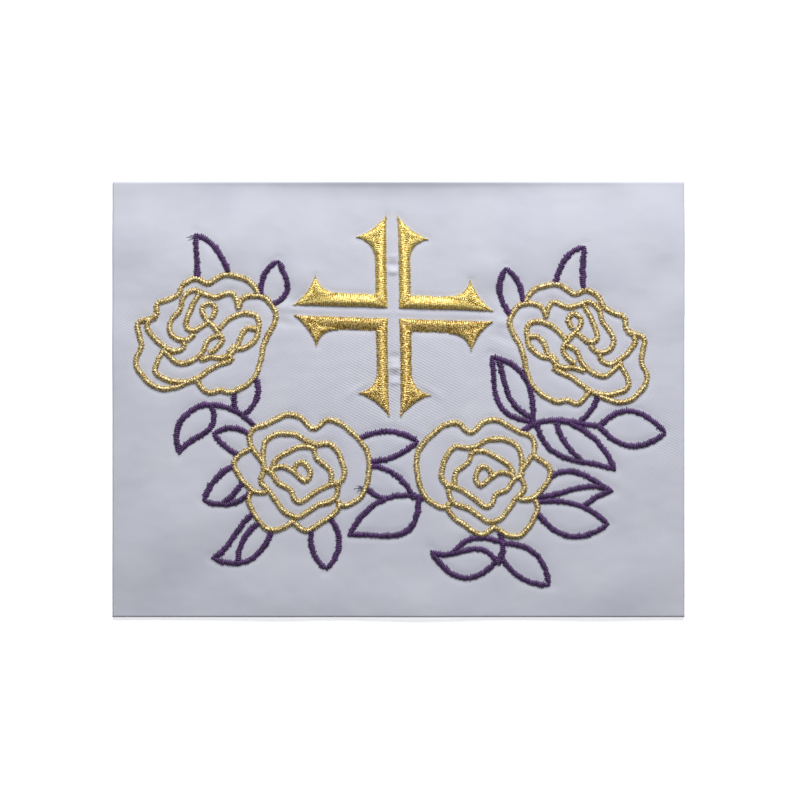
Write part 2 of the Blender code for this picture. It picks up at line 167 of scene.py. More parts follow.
# Petal edges: the knots of each line from the rose's middle
PETALS = {
    "open": {
        "bud": ((-9.8, 0.9), (-8, 1.6), (-5.5, 1.5), (-3, 0), (1, -3), (2.5, 0), (0, 3.5),
                (-2.5, 2), (-3, 0)),
        "heart_top": ((-10.3, -0.4), (-9.2, 3.5), (-4, 7), (-0.5, 8.5), (3.5, 8), (4.5, 5), (9, 1),
                      (9.5, -3)),
        "heart_foot": ((-13, 1), (-10.4, -0.6), (-8, -4), (-4, -6), (-3, -9), (-1, -10), (4, -6.5),
                       (10, -3.5), (12.5, -3.5)),
        "whorl_top": ((-13, 1), (-12.5, 9), (-9.5, 12), (-2.5, 12.5), (3.5, 9.5), (9.5, 9.5),
                      (13, 4), (13.5, -1.5), (11, -3.5)),
        "whorl_foot": ((-16.5, 7.5), (-12.5, 1), (-14, -3), (-10.5, -7.5), (-6, -13.5), (-2, -15),
                       (4.5, -11), (10.5, -8.5), (11.5, -4.5)),
        "rim_top": ((-17, 7.5), (-17, 13), (-11, 16), (-5, 19), (-1, 18.5), (4, 14.5), (8, 17.5),
                    (12, 17), (21, 8.5), (22, 2), (19.5, -7), (14.5, -10.5), (11.5, -10.5)),
        "rim_side": ((-17, 7.5), (-22, 4), (-22.5, 1), (-16, -7), (-12, -7)),
        "rim_low_left": ((-17.5, -7), (-18, -10.5), (-12.5, -19), (-9, -19.5), (-3, -16.5)),
        "rim_low_right": ((-4, -16.5), (1, -19.5), (4.5, -17.5), (11.5, -12), (11.5, -9)),
    },
    "turned": {
        "bud": ((3, 2), (-0.5, 5.5), (-1, 8.5), (1.5, 10), (3.5, 8), (2, 5)),
        "heart_left": ((-2, 13), (-5, 7.5), (-6.5, 2), (-4, 0.5), (1, 3.5), (3.5, 1), (5.5, -2),
                       (3, -5.5), (1, -6.5)),
        "heart_right": ((4.5, 1.5), (8, 5), (13, 7), (17, 6), (17.5, 2), (14, 2), (11.5, -1),
                        (10.5, -4), (6, -8), (2, -8), (-2, -9)),
        "fold_right": ((17.5, 3), (17, -1), (13, -4.5), (10, -5)),
        "fold_left": ((5, -0.5), (1, -2), (-1, -6), (-4, -9), (-9, -10.5), (-14, -6.5)),
        "whorl_left": ((11, 8.5), (9, 13.5), (3, 12), (-4, 14), (-7, 12), (-8.5, 7.5), (-12, 2.5),
                       (-11, -1.5), (-6, -2.5), (-4, -0.5)),
        "whorl_foot": ((-19, 3.5), (-19.5, 1), (-14, -5), (-10.5, -6.5), (-7.5, -5), (-7.5, -2.5)),
        "rim_top": ((-19, 3.5), (-16.5, 5.5), (-16, 9), (-9.5, 12), (-7, 16), (-3, 18), (1, 16.5),
                    (6.5, 19.5), (15, 17.5), (18, 13.5)),
        "rim_left": ((-16.5, 4.5), (-22.5, 2.5), (-21.5, -5), (-23.5, -11), (-18, -18), (-13, -19),
                     (-2, -15)),
        "rim_right": ((11, 8.5), (12.5, 12), (19.5, 12.5), (23.5, 6.5), (19.5, -2.5), (17.5, -11),
                      (15, -15.5), (8, -19.5), (4, -19), (0.5, -20), (-3.5, -16)),
        "rim_foot": ((-14, -5.5), (-17, -13.5), (-11, -16.5), (-5, -16), (3, -11), (8.5, -8.5),
                     (7.5, -6.5), (9.5, -4)),
    },
}
# How far the petal lines waver from side to side, and over what length: the outer lines waver more
OUTER_PETALS = ("rim", "whorl")
OUTER_WAVER = 0.08
INNER_WAVER = 0.04
WAVER_RUN = 5.5

# Leaf and stem lines in the design: node, from x, from y, to x, to y, bow to the left, and how far
# the bow leans to the far end
LEAF_LINES = (
    ("leaf_top_left", -65, 10.5, -65.5, 24, 0, 0),
    ("leaf_top_left", -55, 12.5, -65.5, 24, -2, 0.2),
    ("leaf_top_left_inner", -44, 5.5, -38, 16, 2, 0.2),
    ("leaf_top_left_inner", -39.5, 2, -38, 16, -3.6, -0.5),
    ("leaf_top_right_inner", 38.5, 1.5, 37.5, 16, 2.5, 0),
    ("leaf_top_right_inner", 43.5, 5, 37.5, 16, -1.5, 0.4),
    ("leaf_top_right", 54, 11.5, 64, 24, 2.5, 0.4),
    ("leaf_top_right", 63.5, 10.5, 64, 24, 0.5, 0),
    ("spray_left", -53, -27, -53, -34, -0.5, 0),
    ("spray_left", -46.5, -23, -50.5, -35.5, 2.7, -0.2),
    ("spray_left", -47.5, -38.5, -63.5, -32.5, -2, 0),
    ("spray_left", -63.5, -32.5, -72, -49, -4.5, 0),
    ("spray_left", -61, -33, -72, -49, 2.7, -1.5),
    ("leaf_left_upper", -49, -41.5, -60.5, -42, -1.8, 0),
    ("leaf_left_upper", -52, -49, -60.5, -42, 0.8, 0),
    ("leaf_left_lower", -55, -53, -64, -64.5, -1.5, 0),
    ("leaf_left_lower", -49.5, -62, -64, -64.5, 2.2, -0.2),
    ("leaf_left_lower", -57, -64.5, -51, -57.5, -0.5, 0),
    ("leaf_low_left", -48, -68.5, -61.5, -83.5, 0.5, 3),
    ("leaf_low_left", -42, -75, -61.5, -83.5, 5.2, 0),
    ("leaf_low_left", -53, -84, -46, -71.5, 1.8, 0),
    ("leaf_low", -28.5, -73.5, -23.5, -86, -2, 0),
    ("leaf_low", -22, -69, -23.5, -86, 3.5, 0),
    ("leaf_middle_upper", -11.5, -42, 7.5, -42.5, 2.8, 0),
    ("leaf_middle_upper", -8, -49.5, 7.5, -42.5, -1.6, -0.2),
    ("spray_middle", -8, -51, 5.5, -61, 2.4, 0),
    ("spray_middle", -10.5, -58, -4, -62, -0.5, 0),
    ("spray_middle", 10, -61.5, -16, -74.5, -5.8, -0.1),
    ("spray_middle", 7.5, -61, -16, -74.5, 7.3, -0.7),
    ("spray_right", 44, -34.5, 32.5, -13.5, 5, -0.6),
    ("spray_right", 46, -34.5, 32.5, -13.5, -5.5, 0.2),
    ("spray_right", 35, -15.5, 45, -33, -2.5, 0.6),
    ("spray_right", 43, -37.5, 68, -35.5, 2.5, -0.6),
    ("spray_right", 67.5, -26, 60, -35.5, 1, -0.2),
    ("spray_right", 68, -35.5, 90, -37, 6, -0.2),
    ("spray_right", 68, -35.5, 90, -37, -5.5, 0),
    ("spray_right", 56, -34, 73, -50, 2.8, 0),
    ("spray_right", 47.5, -36.5, 73, -50, -4, -0.9),
    ("spray_right", 54, -35.5, 61.5, -47, -1, -0.4),
    ("spray_low_right", 52, -52.5, 72, -57, 2.9, -0.7),
    ("spray_low_right", 47.5, -59.5, 72, -57, 1.6, 1.4),
    ("spray_low_right", 63, -62, 72, -57, 0.7, 0),
    ("spray_low_right", 47.5, -61.5, 70.5, -68, 3, 0),
    ("spray_low_right", 47, -65, 70.5, -68, -6, 0),
    ("spray_bottom", 35.5, -75.5, 19, -79, -3.4, 0.2),
    ("spray_bottom", 33, -81.5, 11.5, -79, -1.9, -2.3),
    ("spray_bottom", 34.5, -80, 11.5, -79, 8, 0),
    ("spray_bottom", 35.5, -75.5, 50.5, -89, 4.6, 0),
    ("spray_bottom", 35, -80.5, 50.5, -89, -2.5, 0),
    ("spray_bottom", 34, -71.5, 34, -82, 1.4, 0),
)
# Over how much of its end a leaf line narrows to its tip, to what share of its width, and how soon
TIP_REACH = 2.2
TIP_WIDTH = 0.15
TIP_CURVE = 0.7
# How far the purple lines run under a rose's line, on past a leaf's tip, and on under the purple
# line that they meet
TUCK = 0.5
TIP_PAST = 0.5
JOIN_PAST = 0.8

# Stitches: the sides and rings of one thread, half its height to its whole width, and how high its
# ends are over the cloth
STITCH_SIDES = 6
STITCH_RINGS = 6
STITCH_FLATNESS = 0.36
STITCH_FOOT = -0.6
# How far the ends of stitches that lie side by side are shifted, to the space from one to the next
SIDE_SHIFT = 0.12
# Stitches shorter than this are laid in thinner thread, down to this share of its width
SHORT_STITCH = 1.3
SHORT_WIDTH = 0.4
# How much a line's width drifts, and over what length
DRIFT = 0.04
DRIFT_RUN = 3.0
# How finely lines and padding are drawn, and how deep the padding's edges and its bottom lie
FINE_STEP = 0.25
BED_STEP = 0.8
BED_EDGE = 0.65
BED_BOTTOM = 0.7
# How high the seams between the cross's columns stand, how soon a barb's seam rises to that, and
# how far the stitches of one column run into the next there
SEAM_FOOT = 0.62
SEAM_RISE = 2.8
SEAM_LAP = 0.15
# Where across the cross's columns the stitches stand highest: from a level arm's gap line, and from
# a barb's seams
LEVEL_PEAK = 0.16
BARB_PEAK = 0.72
# The cross's crown is lower where a column is narrower than an upright arm, down to this share of
# the arm's width
CROSS_LEAST = 0.15

# Thread ends at the cross's points: least and most length, width, how much they curl, and how far
# inside they start
CROSS_TAIL = (1.0, 1.5)
CROSS_TAIL_WIDTH = 0.42
CROSS_TAIL_CURL = 0.15
CROSS_TAIL_INSIDE = 0.8
# Loose ends of purple thread on the cloth, by node: from x, from y, angle in degrees, length
FUZZ = {
    "leaf_top_left": ((-67.6, 54.0, 172, 3.0), (-67.8, 53.8, 192, 2.4), (-67.9, 54.4, 155, 1.6)),
    "spray_middle": ((-11.5, -29.4, 178, 3.4), (-11.5, -29.6, 200, 2.8), (-11.4, -29.2, 160, 2.6),
                     (-12.6, -28.8, 230, 1.8)),
}
FUZZ_WIDTH = 0.26
FUZZ_CURL = 0.4
# How much a loose end thins towards its tip
TAIL_THINS = 0.7

# The twill's ribs: pitch, angle in degrees, and relief
TWILL_PITCH = 0.87
TWILL_ANGLE = 27
TWILL_RELIEF = 0.1
# How clearly they stand out: everywhere, and in patches by their middle x, middle y, half width,
# half height and strength
TWILL_LEAST = 0.08
TWILL_PATCHES = (
    (0, 5, 84, 50, 0.62),
    (92, -15, 30, 60, 0.35),
    (-86, 22, 24, 28, 0.30),
)

# Threads: material, dark tone, light tone, roughness, metallic, glitter, sheen, and how much each
# stitch has a tone of its own
THREADS = (
    # The cross's gold has a lighter copy for its upper quarters and a darker copy for its lower
    # quarters: painted light above and painted shade below
    ("gold_cross_painted_lit", (0.64, 0.42, 0.075), (1.0, 0.87, 0.37), 0.45, 0.75, 0.55, 0.0, 0.06),
    ("gold_cross_painted_shade", (0.43, 0.24, 0.035), (1.0, 0.81, 0.33), 0.45, 0.75, 0.6, 0.0, 0.06),
    ("gold_line", (0.36, 0.23, 0.06), (0.96, 0.82, 0.45), 0.45, 0.75, 0.6, 0.0, 0.06),
    ("purple_satin", (0.010, 0.003, 0.026), (0.112, 0.035, 0.182), 0.5, 0.0, 0.3, 0.1, 0.16),
)
# The twist's tone and its glints: the scales of noise with spots of about half a millimetre, and the
# glints' relief
TWIST_SCALE = 1650.0
GLINT_SCALE = 1900.0
GLINT_RELIEF = 0.3

SEED = 12
rng = np.random.default_rng(SEED)


def fold_height(x, y, table=FOLDS):
    """Height that the soft folds of a table lift the cloth to, for arrays of places."""
    total = np.zeros(np.broadcast(x, y).shape)
    for middle_x, middle_y, run, half_length, half_width, height in table:
        turn = math.radians(run)
        along = (x - middle_x) * math.cos(turn) + (y - middle_y) * math.sin(turn)
        beside = (y - middle_y) * math.cos(turn) - (x - middle_x) * math.sin(turn)
        reach = np.minimum(1.0, np.hypot(along / half_length, beside / half_width))
        total += height * np.cos(math.pi / 2 * reach) ** 2
    return total


def cloth_level(points):
    """Height of the cloth's upper side over the surface, before the stitches press it."""
    x, y = points[..., 0], points[..., 1]
    return CLOTH_THICK + fold_height(x, y) + fold_height(x, y, CREASES) + fold_height(x, y, PUCKERS)


def place(x, y):
    """Where a point of the design is on the cloth."""
    return Vector((DESIGN_X + x + UPRIGHT_LEAN * y, DESIGN_Y + y + LEVEL_LEAN * x))


def smooth_line(knots):
    """Close points on a smooth line through the knots (centripetal Catmull-Rom)."""
    knots = [Vector(knot) for knot in knots]
    knots = [2 * knots[0] - knots[1], *knots, 2 * knots[-1] - knots[-2]]
    points = []
    for p0, p1, p2, p3 in zip(knots, knots[1:], knots[2:], knots[3:]):
        t1 = (p1 - p0).length ** 0.5
        t2 = t1 + (p2 - p1).length ** 0.5
        t3 = t2 + (p3 - p2).length ** 0.5
        count = max(1, round((p2 - p1).length / FINE_STEP))
        for index in range(count):
            t = t1 + (t2 - t1) * index / count
            a1 = p0.lerp(p1, t / t1)
            a2 = p1.lerp(p2, (t - t1) / (t2 - t1))
            a3 = p2.lerp(p3, (t - t2) / (t3 - t2))
            b1 = a1.lerp(a2, t / t2)
            b2 = a2.lerp(a3, (t - t1) / (t3 - t1))
            points.append(b1.lerp(b2, (t - t1) / (t2 - t1)))
    points.append(knots[-2])
    return points


def bowed_line(start, end, bow, lean=0.0):
    """Close points from start to end, bowed to the left by a parabola that leans."""
    run = end - start
    left = Vector((-run.y, run.x)).normalized()
    count = max(3, round(run.length / FINE_STEP))
    points = []
    for index in range(count + 1):
        t = index / count
        offset = bow * 4 * t * (1 - t) * (1 + lean * (2 * t - 1))
        points.append(start + run * t + left * offset)
    return points


def lengths_along(points):
    """How far along a line each of its points lies."""
    steps = np.linalg.norm(np.diff(points, axis=0), axis=1)
    return np.concatenate(([0.0], np.cumsum(steps)))


def evenly_spaced(points, count):
    """As many points at even spaces along a line as asked for, and how far along it each lies."""
    points = np.array(points)
    reached = lengths_along(points)
    stations = np.linspace(0.0, reached[-1], count)
    even = np.column_stack([np.interp(stations, reached, points[:, axis]) for axis in (0, 1)])
    return even, stations


def lefts_of(points):
    """One step to the left at each point of a line."""
    ways = np.gradient(points, axis=0)
    ways /= np.linalg.norm(ways, axis=1)[:, None]
    return np.column_stack((-ways[:, 1], ways[:, 0]))


def line_rungs(points, widths):
    """The two sides of a line, widened to the widths: rows of (left, right) places."""
    lefts = lefts_of(points) * widths[:, None] / 2
    return np.stack((points + lefts, points - lefts), axis=1)


def raised(places, heights):
    """Places on the cloth with their heights."""
    return np.concatenate((places, heights[..., None]), axis=-1)


def point_tree(points):
    """A tree that finds the nearest of some places on the cloth."""
    tree = KDTree(len(points))
    for index, point in enumerate(points):
        tree.insert((point[0], point[1], 0.0), index)
    tree.balance()
    return tree


def clear_run(points, blocked, clearance):
    """The longest run of points that keeps its clearance from the blocked ones."""
    best, run = [], []
    for point in points:
        if blocked.find(point.to_3d())[2] < clearance:
            run = []
            continue
        run.append(point)
        if len(run) > len(best):
            best = list(run)
    return best


def rose_lines():
    """Every rose's petal edges on the cloth, by node: rows of (name, points)."""
    roses = {}
    for node, x, y, side, width, petals in ROSES:
        roses[node] = []
        for name, knots in PETALS[petals].items():
            line = [place(x + side * width * point.x, y + point.y) for point in smooth_line(knots)]
            roses[node].append((name, line))
    return roses


def leaf_lines(roses):
    """Every leaf and stem line on the cloth, by node: rows of (whether it narrows to a tip,
    points). It stops under a rose's line, or runs on past its own end."""
    blocked = point_tree([point for lines in roses.values() for _, line in lines for point in line])
    clearance = GOLD_WIDTH / 2 - TUCK
    leaves = {}
    far_ends = [row[3:5] for row in LEAF_LINES]
    for node, x0, y0, x1, y1, bow, lean in LEAF_LINES:
        whole = bowed_line(place(x0, y0), place(x1, y1), bow, lean)
        line = clear_run(whole, blocked, clearance)
        is_tip = far_ends.count((x1, y1)) > 1
        reaches_end = line[-1] == whole[-1]
        if line[0] == whole[0]:
            line.insert(0, line[0] + (line[0] - line[2]).normalized() * JOIN_PAST)
        if reaches_end:
            past = TIP_PAST if is_tip else JOIN_PAST
            line.append(line[-1] + (line[-1] - line[-3]).normalized() * past)
        leaves.setdefault(node, []).append((reaches_end and is_tip, line))
    return leaves


class Shape:
    """Corners and faces gathered for one mesh."""

    def __init__(self):
        self.corners = []
        self.faces = []
        self.count = 0

    def add_tubes(self, rings):
        """Closed tubes from an array of (tube, ring, side, xyz), in millimetres."""
        tubes, ring_count, sides, _ = rings.shape
        self.corners.append(rings.reshape(-1, 3))
        ring = np.arange(sides)
        around = np.column_stack((ring, np.roll(ring, -1)))
        quads = []
        for index in range(ring_count - 1):
            low, high = index * sides, (index + 1) * sides
            quads.append(np.column_stack((low + around, high + around[:, ::-1])))
        quads = np.concatenate(quads)
        start = self.count + np.arange(tubes)[:, None, None] * ring_count * sides
        self.faces += (start + quads[None]).reshape(-1, 4).tolist()
        caps = np.stack((ring[::-1], ring + (ring_count - 1) * sides))
        self.faces += (start + caps[None]).reshape(-1, sides).tolist()
        self.count += tubes * ring_count * sides

    def make(self, name, material):
        """The mesh as an object, in metres."""
        mesh = bpy.data.meshes.new(name)
        mesh.from_pydata(np.concatenate(self.corners) * MM, [], self.faces)
        mesh.shade_smooth()
        mesh.materials.append(material)
        obj = bpy.data.objects.new(name, mesh)
        bpy.context.collection.objects.link(obj)
        return obj


class Satin:
    """How one kind of satin stitching is laid: the step from stitch to stitch, the height of its
    crown, the thread's width, how square its back is, how uneven its ends are, how much heights
    and widths spread, the thread's width at its ends, how far in the padding starts, and whether
    the stitches run in a zigzag or lie side by side."""

    def __init__(self, step, crown, thread, power, uneven, spread, ends=0.75, inset=0.06, zigzag=True):
        self.step = step
        self.crown = crown
        self.thread = thread
        self.power = power
        self.uneven = uneven
        self.spread = spread
        self.ends = ends
        self.inset = inset
        self.zigzag = zigzag


GOLD_LINE = Satin(step=0.43, crown=0.68, thread=0.62, power=2.2, uneven=0.08, spread=0.03)
PURPLE_LINE = Satin(
    step=0.66,
    crown=0.46,
    thread=0.51,
    power=3.2,
    uneven=0.16,
    spread=0.06,
    ends=0.4,
    inset=0.18,
    zigzag=False,
)
CROSS_SATIN = Satin(step=0.36, crown=0.72, thread=0.56, power=3.2, uneven=0.07, spread=0.015, inset=0.02)


class Column:
    """A column of satin: its rungs from side to side, how high its stitches and their two feet
    stand at each rung, and where across it they stand highest."""

    def __init__(self, rungs, crowns, feet=None, peak=0.5):
        self.rungs = rungs
        self.crowns = crowns
        self.feet = np.full((len(rungs), 2), STITCH_FOOT) if feet is None else feet
        self.peak = peak
        self.reached = lengths_along(rungs.mean(axis=1))
        self.length = self.reached[-1]

    def side(self, which, stations):
        """Places on its left side, 0, or its right side, 1."""
        rows = self.rungs[:, which]
        return np.column_stack([np.interp(stations, self.reached, rows[:, axis]) for axis in (0, 1)])

    def crown(self, stations):
        """How high the stitches stand."""
        return np.interp(stations, self.reached, self.crowns)

    def foot(self, which, stations):
        """How high their feet on one side stand."""
        return np.interp(stations, self.reached, self.feet[:, which])[:, None]


def crown_share(t, peak, power):
    """How high a stitch stands, 0 at its ends and 1 at its peak. A higher power makes it squarer."""
    before = np.clip((peak - t) / peak, 0, 1)
    after = np.clip((t - peak) / (1 - peak), 0, 1)
    return 1 - np.maximum(before, after) ** power


def add_stitches(shape, column, satin):
    """The stitches across a column, and the padding under them."""
    count = max(2, round(column.length / satin.step))
    step = column.length / count
    stations = step * (np.arange(count) + 0.5)
    shift = np.where(np.arange(count) % 2, -0.5, 0.5) if satin.zigzag else np.full(count, SIDE_SHIFT)
    left = column.side(0, stations - shift * step)
    right = column.side(1, stations + shift * step)
    runs = right - left
    lengths = np.maximum(np.linalg.norm(runs, axis=1), 1e-6)
    runs /= lengths[:, None]
    left -= runs * rng.normal(0.0, satin.uneven, count)[:, None]
    right += runs * rng.normal(0.0, satin.uneven, count)[:, None]
    crown = (column.crown(stations) * (1 + rng.normal(0.0, satin.spread, count)))[:, None]
    left_foot = column.foot(0, stations)
    right_foot = column.foot(1, stations)
    left -= runs * SEAM_LAP * (left_foot > 0)
    right += runs * SEAM_LAP * (right_foot > 0)

    t = (1 - np.cos(np.pi * np.linspace(0, 1, STITCH_RINGS))) / 2
    places = left[:, None] + (right - left)[:, None] * t[None, :, None]
    foot = left_foot + (right_foot - left_foot) * t[None]
    share = crown_share(t, column.peak, satin.power)[None]
    path = raised(places, cloth_level(places) + foot + (crown - foot) * share)

    across = np.column_stack((-runs[:, 1], runs[:, 0], np.zeros(count)))
    size = satin.thread * (1 + rng.normal(0.0, 2 * satin.spread, count))
    size *= np.clip(lengths / SHORT_STITCH, SHORT_WIDTH, 1)
    size = size[:, None] * (satin.ends + (1 - satin.ends) * share)
    shape.add_tubes(thread_rings(path, across, size))
    add_bed(shape, column, satin)


def thread_rings(path, across, size):
    """The rings of threads round their paths, wider across than they are high."""
    ways = np.gradient(path, axis=1)
    ways /= np.maximum(np.linalg.norm(ways, axis=2), 1e-9)[..., None]
    across = np.repeat(across[:, None], STITCH_RINGS, axis=1)
    ups = np.cross(ways, across)
    turns = 2 * np.pi * np.arange(STITCH_SIDES) / STITCH_SIDES
    beside = size[..., None, None] * 0.5 * np.cos(turns)[None, None, :, None]
    above = size[..., None, None] * STITCH_FLATNESS * np.sin(turns)[None, None, :, None]
    return path[:, :, None] + across[:, :, None] * beside + ups[:, :, None] * above


def add_bed(shape, column, satin):
    """The padding under a column of stitches, a closed bar that hides the cloth between them."""
    count = max(2, round(column.length / BED_STEP))
    stations = np.linspace(0.0, column.length, count + 1)
    left, right = column.side(0, stations), column.side(1, stations)
    under = satin.thread * STITCH_FLATNESS
    crown = (column.crown(stations) - under)[:, None]
    left_foot = column.foot(0, stations)
    right_foot = column.foot(1, stations)

    t = np.array((satin.inset, 0.25, 0.5, 0.75, 1 - satin.inset))
    places = left[:, None] + (right - left)[:, None] * t[None, :, None]
    foot = left_foot + (right_foot - left_foot) * t[None] - under
    share = crown_share(t, column.peak, satin.power)[None]
    tops = cloth_level(places) + foot + (crown - foot) * share
    upper = raised(places, np.maximum(tops, cloth_level(places) - BED_EDGE))
    ends = places[:, [0, -1]]
    lower = raised(ends, cloth_level(ends) - BED_BOTTOM)
    ring = np.concatenate((upper, lower[:, ::-1]), axis=1)
    shape.add_tubes(ring[None, :, ::-1])


def add_tail(shape, start, way, length, width, curl):
    """A thread's cut end that lies on the cloth, curling to the left."""
    t = np.linspace(0, 1, STITCH_RINGS)
    left = Vector((-way.y, way.x))
    path = np.array([start + way * length * step + left * curl * step ** 2 for step in t])
    turns = 2 * np.pi * np.arange(STITCH_SIDES) / STITCH_SIDES
    thick = width * (1 - TAIL_THINS * t)[:, None] / 2
    beside = thick * np.cos(turns)[None]
    places = path[:, None] + lefts_of(path)[:, None] * beside[..., None]
    heights = cloth_level(path)[:, None] + width / 3 + thick * np.sin(turns)[None]
    shape.add_tubes(raised(places, heights)[None])


def stitch_line(shape, points, width, satin, tip=False, waver=0.0):
    """A line of satin along the points, which may narrow to a tip or waver."""
    count = max(2, round(lengths_along(points)[-1] / FINE_STEP))
    even, stations = evenly_spaced(points, count + 1)
    if waver:
        sway = waver * np.sin(2 * np.pi * stations / WAVER_RUN + rng.uniform(0, 2 * np.pi))
        even = even + lefts_of(even) * sway[:, None]
    factor = np.ones(len(stations))
    if tip:
        to_go = np.clip((stations[-1] - stations) / TIP_REACH, 0, 1)
        factor = TIP_WIDTH + (1 - TIP_WIDTH) * to_go ** TIP_CURVE
    knots = np.arange(0, stations[-1] + DRIFT_RUN, DRIFT_RUN)
    drift = np.interp(stations, knots, rng.normal(0, DRIFT, len(knots)))
    rungs = line_rungs(even, width * factor * (1 + drift))
    add_stitches(shape, Column(rungs, satin.crown * factor), satin)


def cross_columns(reach, arm, corner, peak):
    """The satin columns of one arm of a quarter, which runs up from the quarter's inner corner,
    where the other arm is as wide as the corner is high: rows of (rungs, feet, peak)."""
    tip = Vector((0, reach))
    barb = Vector((BARB_OUT, reach - BARB_BACK))
    root = Vector((arm, reach - BARB_ROOT))
    inner_root = root - Vector(BARB_ROOT_INSIDE)
    middle = Vector((BARB_MIDDLE[0], reach - BARB_MIDDLE[1]))

    heights = np.linspace(0, reach, round(reach / FINE_STEP))
    edge_x, edge_y = zip((0, 0), (arm, corner), root, middle, tip)
    edge = np.interp(heights, edge_y, edge_x)
    gap_line = np.column_stack((0 * heights, heights))
    rungs = np.stack((gap_line, np.column_stack((edge, heights))), axis=1)
    joined = np.where(heights < corner, 1.0, np.clip((heights - root.y) / SEAM_RISE, 0, 1))
    seam_feet = STITCH_FOOT + (SEAM_FOOT - STITCH_FOOT) * joined
    feet = np.column_stack((np.full(len(heights), STITCH_FOOT), seam_feet))
    columns = [(rungs, feet, peak)]

    for start, end, hollow in ((tip, barb, BARB_HOLLOW_END), (barb, inner_root, BARB_HOLLOW_ROOT)):
        outer = np.array(bowed_line(start, end, -hollow))
        seam, _ = evenly_spaced((start, middle, end), len(outer))
        feet = np.tile((SEAM_FOOT, STITCH_FOOT), (len(outer), 1))
        columns.append((np.stack((seam, outer), axis=1), feet, BARB_PEAK))
    return columns


def quarter_place(side, rise, x, y):
    """Places on the cloth, from a quarter's inner corner outwards and upwards."""
    x = side * (CROSS_GAP_ACROSS + x)
    y = rise * (CROSS_GAP_UP + y)
    return DESIGN_X + x + UPRIGHT_LEAN * y, DESIGN_Y + y + LEVEL_LEAN * x


def quarter_columns(side, rise):
    """All the columns of one quarter of the cross, on the cloth: rows of (rungs, feet, peak)."""
    reach_up = CROSS_REACH_TOP if rise > 0 else CROSS_REACH_FOOT
    upright = cross_columns(reach_up, CROSS_ARM_UPRIGHT, CROSS_ARM_LEVEL, 0.5)
    level = cross_columns(CROSS_REACH_ACROSS, CROSS_ARM_LEVEL, CROSS_ARM_UPRIGHT, LEVEL_PEAK)
    columns = [*upright, *((rungs[..., ::-1], feet, peak) for rungs, feet, peak in level)]
    placed = []
    for rungs, feet, peak in columns:
        x, y = quarter_place(side, rise, rungs[..., 0], rungs[..., 1])
        placed.append((np.stack((x, y), axis=-1), feet, peak))
    return placed


def quarter_tips(side, rise):
    """The points of one quarter of the cross, and the way that thread ends stick out of each."""
    reach_up = CROSS_REACH_TOP if rise > 0 else CROSS_REACH_FOOT
    tips = (
        (0, reach_up, 0.1, 1),
        (BARB_OUT, reach_up - BARB_BACK, 1, 0.05),
        (CROSS_REACH_ACROSS, 0, 1, 0.1),
        (CROSS_REACH_ACROSS - BARB_BACK, BARB_OUT, 0.05, 1),
    )
    for x, y, way_x, way_y in tips:
        way = Vector((side * way_x, rise * way_y)).normalized()
        yield Vector(quarter_place(side, rise, x, y)), way


def make_cross(gold_painted_shade, gold_painted_lit):
    """The cross's four quarters: rows of (piece, node, slot)."""
    pieces = []
    for side, across in ((-1, "left"), (1, "right")):
        # The upper quarters get the lighter copy of the gold and the lower quarters the darker one:
        # painted light and painted shade
        for rise, up, material in ((-1, "lower", gold_painted_shade), (1, "upper", gold_painted_lit)):
            shape = Shape()
            for rungs, feet, peak in quarter_columns(side, rise):
                spans = np.linalg.norm(rungs[:, 0] - rungs[:, 1], axis=1)
                crowns = CROSS_SATIN.crown * np.clip(spans / CROSS_ARM_UPRIGHT, CROSS_LEAST, 1) ** 0.5
                add_stitches(shape, Column(rungs, crowns, feet, peak), CROSS_SATIN)
            for tip, way in quarter_tips(side, rise):
                length = rng.uniform(*CROSS_TAIL)
                curl = rng.normal(0, CROSS_TAIL_CURL)
                add_tail(shape, tip - way * CROSS_TAIL_INSIDE, way, length, CROSS_TAIL_WIDTH, curl)
            node = f"cross_{up}_{across}"
            pieces.append((shape.make(f"satin_{node}", material), node, "gold_thread"))
    return pieces


def make_roses(roses, material):
    """The roses' petal lines: rows of (piece, node, slot)."""
    pieces = []
    for node, lines in roses.items():
        shape = Shape()
        for name, line in lines:
            waver = OUTER_WAVER if name.startswith(OUTER_PETALS) else INNER_WAVER
            stitch_line(shape, line, GOLD_STITCHED, GOLD_LINE, waver=waver)
        pieces.append((shape.make(f"satin_{node}", material), node, "gold_thread"))
    return pieces


def make_leaves(leaves, material):
    """The leaf and stem lines with their loose ends: rows of (piece, node, slot)."""
    pieces = []
    for node, lines in leaves.items():
        shape = Shape()
        for tip, line in lines:
            stitch_line(shape, line, PURPLE_STITCHED, PURPLE_LINE, tip)
        for x, y, angle, length in FUZZ.get(node, ()):
            way = Vector((math.cos(math.radians(angle)), math.sin(math.radians(angle))))
            add_tail(shape, Vector((x, y)), way, length, FUZZ_WIDTH, FUZZ_CURL)
        pieces.append((shape.make(f"satin_{node}", material), node, "purple_thread"))
    return pieces


def pressed_places(roses, leaves):
    """Places on the cloth that the stitches press down, and how far each one's stitches reach."""
    places, reach = [], []
    for lines, width in ((roses, GOLD_WIDTH), (leaves, PURPLE_WIDTH)):
        for group in lines.values():
            for _, line in group:
                places += [tuple(point) for point in line[::2]]
                reach += [width / 2] * len(line[::2])
    for side in (-1, 1):
        for rise in (-1, 1):
            for rungs, _, _ in quarter_columns(side, rise):
                pressing = rungs[::PRESS_EVERY]
                for t in PRESS_ACROSS:
                    row = pressing[:, 0] * (1 - t) + pressing[:, 1] * t
                    places += [tuple(point) for point in row]
                    reach += [PRESS_REACH] * len(row)
    return places, reach


